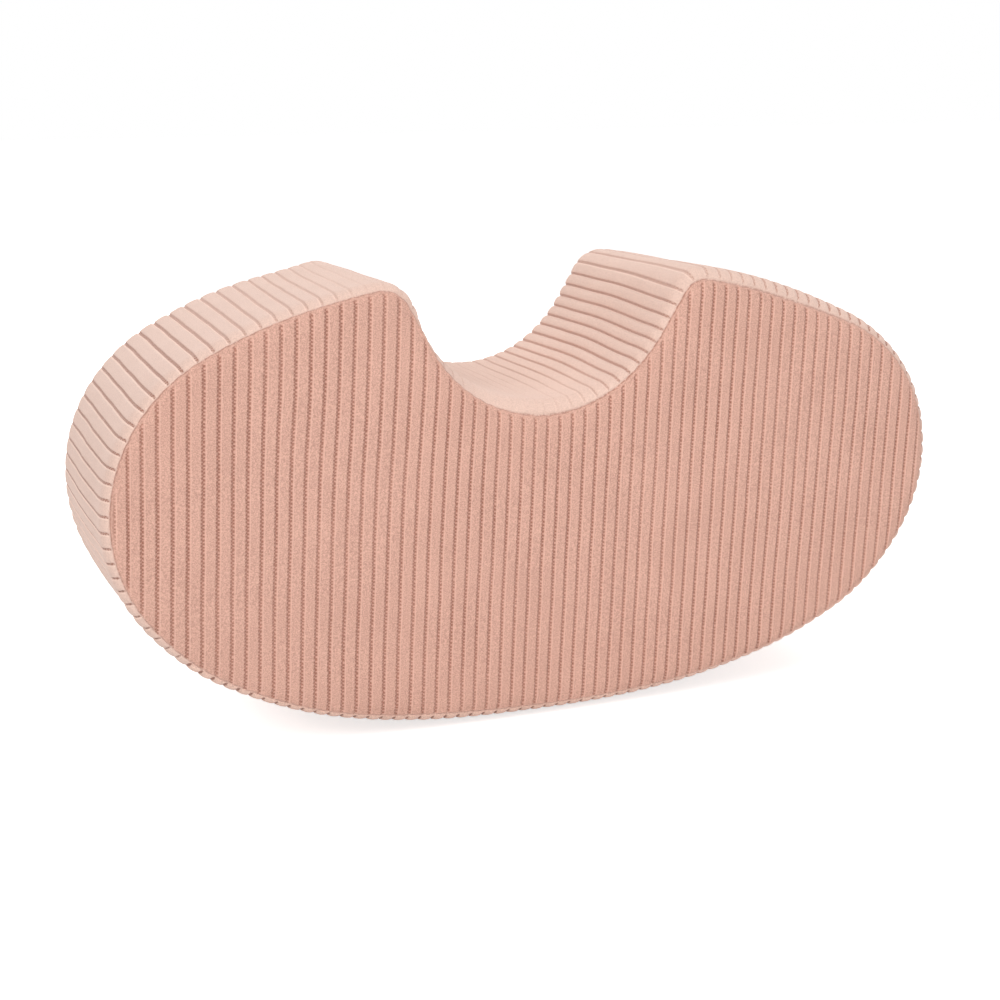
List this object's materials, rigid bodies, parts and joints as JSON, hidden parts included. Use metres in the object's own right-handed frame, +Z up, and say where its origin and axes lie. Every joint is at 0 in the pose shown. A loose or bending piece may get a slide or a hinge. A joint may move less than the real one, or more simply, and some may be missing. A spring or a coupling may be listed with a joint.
{
  "type": "foam rocker",
  "caption": "Kidney-shaped foam rocking seat for small children, in a ribbed velour cover that a zip along the lower back edge opens.",
  "frame": {"origin": "on the floor, under the middle of the block", "axes": "+X along the rocker, +Y from its front to its back, +Z up; the seat hollow opens upwards"},
  "size_m": [0.8002, 0.256, 0.408],
  "materials": {
    "velour_panel": "wide-rib velour, dusty pink",
    "velour_band": "wide-rib velour, dusty pink",
    "foam": "cut polyurethane foam, cream",
    "zip_tape": "woven polyester tape",
    "zip_teeth": "moulded coil, satin",
    "zip_metal": "nickel-plated zinc, satin"
  },
  "bodies": {
    "block": {"foam_core": "foam", "front_panel": "velour_panel", "back_panel": "velour_panel", "base_band": "velour_band", "seat_band": "velour_band", "zip_tape_lower": "zip_tape", "zip_tape_upper": "zip_tape", "zip_teeth_lower": "zip_teeth", "zip_teeth_upper": "zip_teeth", "zip_top_stop_lower": "zip_metal", "zip_top_stop_upper": "zip_metal", "zip_bottom_stop": "zip_metal"},
    "slider": {"zip_slider": "zip_metal"},
    "pull": {"zip_pull": "zip_metal"}
  },
  "joints": [
    {"name": "zip_slide", "type": "hinge", "parent": "block", "child": "slider", "pos_m": [0, 0.12, 0.7413], "axis": [0, 1, 0], "range_deg": [0, 35.5]},
    {"name": "pull_flip", "type": "hinge", "parent": "slider", "child": "pull", "pos_m": [0.2209, 0.1265, 0.05161], "axis": [0.305, 0, -0.9523], "range_deg": [0, 150]}
  ]
}
